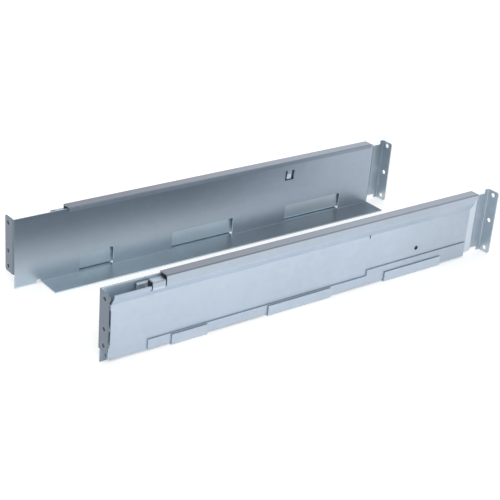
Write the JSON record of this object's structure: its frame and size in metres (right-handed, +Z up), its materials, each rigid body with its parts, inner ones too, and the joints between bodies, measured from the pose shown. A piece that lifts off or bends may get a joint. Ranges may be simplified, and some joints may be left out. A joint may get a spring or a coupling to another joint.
{
  "type": "telescopic rack rail kit",
  "caption": "Pair of telescopic sheet steel support rails for a rack UPS: shelf rails with front ears, and sliding extensions with rear ears.",
  "frame": {"origin": "middle of the footprint of the pair, level with the undersides of the shelves", "axes": "+Y along the rails from the front ears to the rear ears, +X from the left rail to the right rail, +Z up"},
  "size_m": [0.1826, 0.4748, 0.0725],
  "materials": {
    "front_rail_zinc": "zinc coated sheet, dull, with a faint spangle",
    "extension_zinc": "zinc coated sheet, dull, with faint streaks along the rail",
    "bracket_zinc": "zinc coated sheet, dull",
    "nut_steel": "zinc plated, satin",
    "rivet_steel": "dull, dark"
  },
  "bodies": {
    "front_rails": {"left_front_rail": "front_rail_zinc", "left_ear_nuts": "nut_steel", "right_front_rail": "front_rail_zinc", "right_ear_nuts": "nut_steel"},
    "left_extension": {"left_extension_channel": "extension_zinc", "left_rear_bracket": "bracket_zinc", "left_bracket_rivet": "rivet_steel"},
    "right_extension": {"right_extension_channel": "extension_zinc", "right_rear_bracket": "bracket_zinc", "right_bracket_rivet": "rivet_steel"}
  },
  "joints": [
    {"name": "left_slide", "type": "slide", "parent": "front_rails", "child": "left_extension", "axis": [0, 1, 0], "range_m": [0, 0.29]},
    {"name": "right_slide", "type": "slide", "parent": "front_rails", "child": "right_extension", "axis": [0, 1, 0], "range_m": [-0.003, 0.287]}
  ]
}
